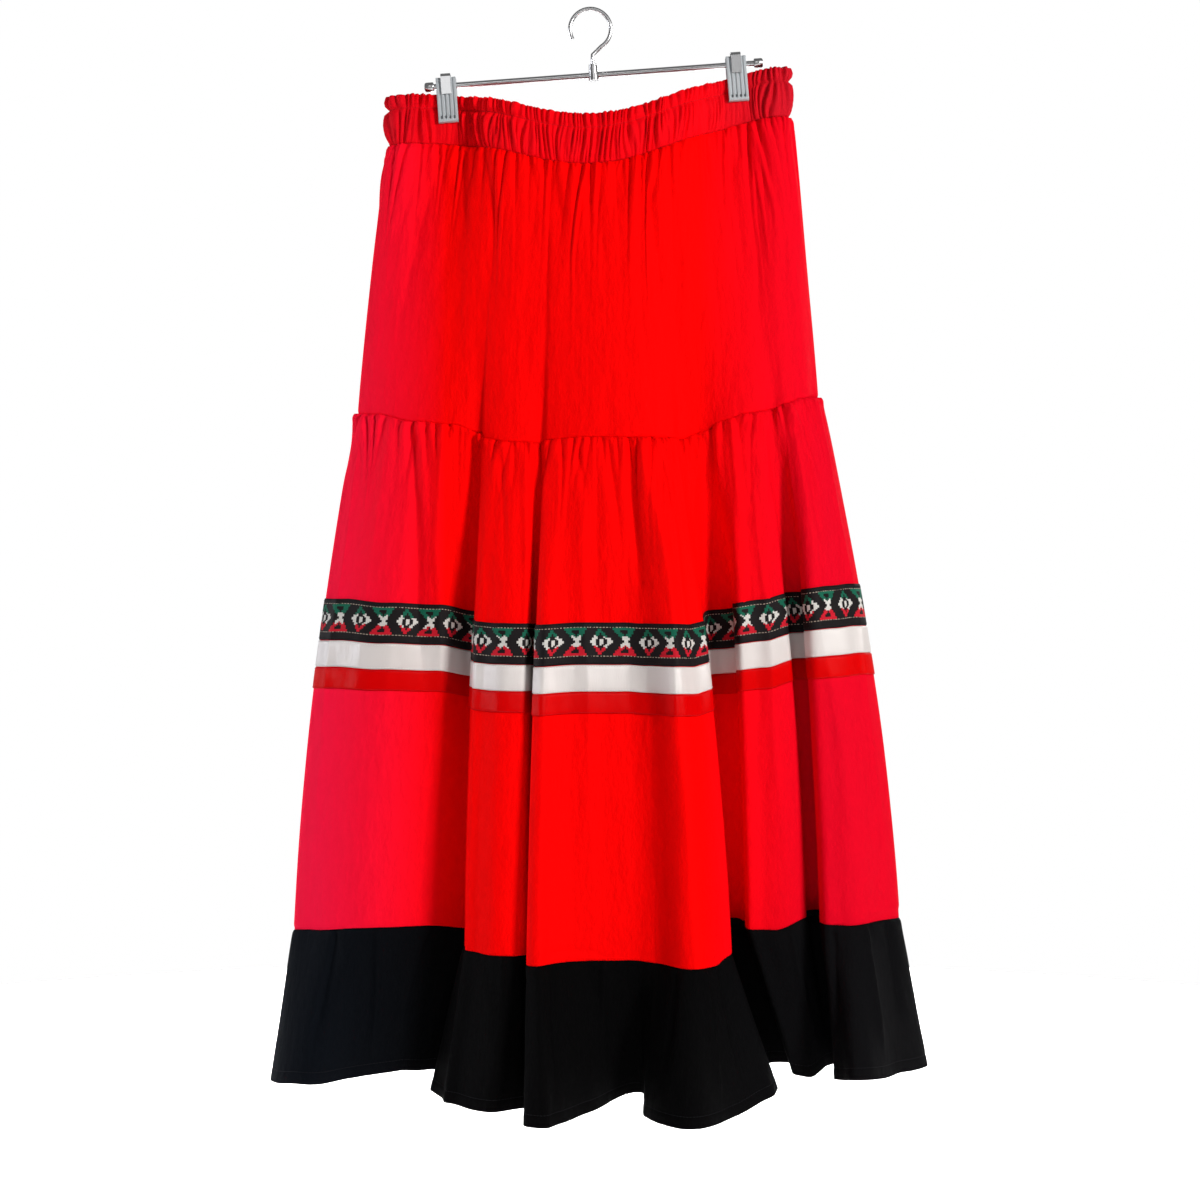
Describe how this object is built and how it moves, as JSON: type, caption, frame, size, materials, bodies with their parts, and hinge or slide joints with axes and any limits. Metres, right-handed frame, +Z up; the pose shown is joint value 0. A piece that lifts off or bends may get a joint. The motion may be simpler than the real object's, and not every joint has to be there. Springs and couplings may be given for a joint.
{
  "type": "dance skirt on a clip hanger",
  "caption": "Long tiered red skirt with elastic waist, ribbon trims and black hem band, hung open from a clip hanger.",
  "frame": {"origin": "the point inside the top of the hook where a rail carries the hanger", "axes": "+Z up, the front faces -Y, +X to the right of someone who looks at the front"},
  "size_m": [0.609, 0.268, 1.0118],
  "materials": {
    "red_cotton": "matt plain-woven cotton",
    "black_cotton": "matt plain-woven cotton",
    "woven_ribbon": "jacquard ribbon, black ground with green, white and red motifs",
    "white_satin": "satin ribbon",
    "red_satin": "satin ribbon",
    "grey_plastic": "satin moulded plastic",
    "steel": "plated steel wire and strip"
  },
  "bodies": {
    "root": {"waistband": "red_cotton", "upper_tier_front": "red_cotton", "upper_tier_back": "red_cotton", "middle_tier_front": "red_cotton", "middle_tier_back": "red_cotton", "hem_band_front": "black_cotton", "hem_band_back": "black_cotton", "woven_ribbon": "woven_ribbon", "white_ribbon": "white_satin", "red_ribbon": "red_satin", "clip_left_front_jaw": "grey_plastic", "clip_left_back_jaw": "grey_plastic", "clip_right_front_jaw": "grey_plastic", "clip_right_back_jaw": "grey_plastic", "clip_left_spring": "steel", "clip_right_spring": "steel", "hanger_bar": "steel", "hanger_hook": "steel"}
  },
  "joints": []
}
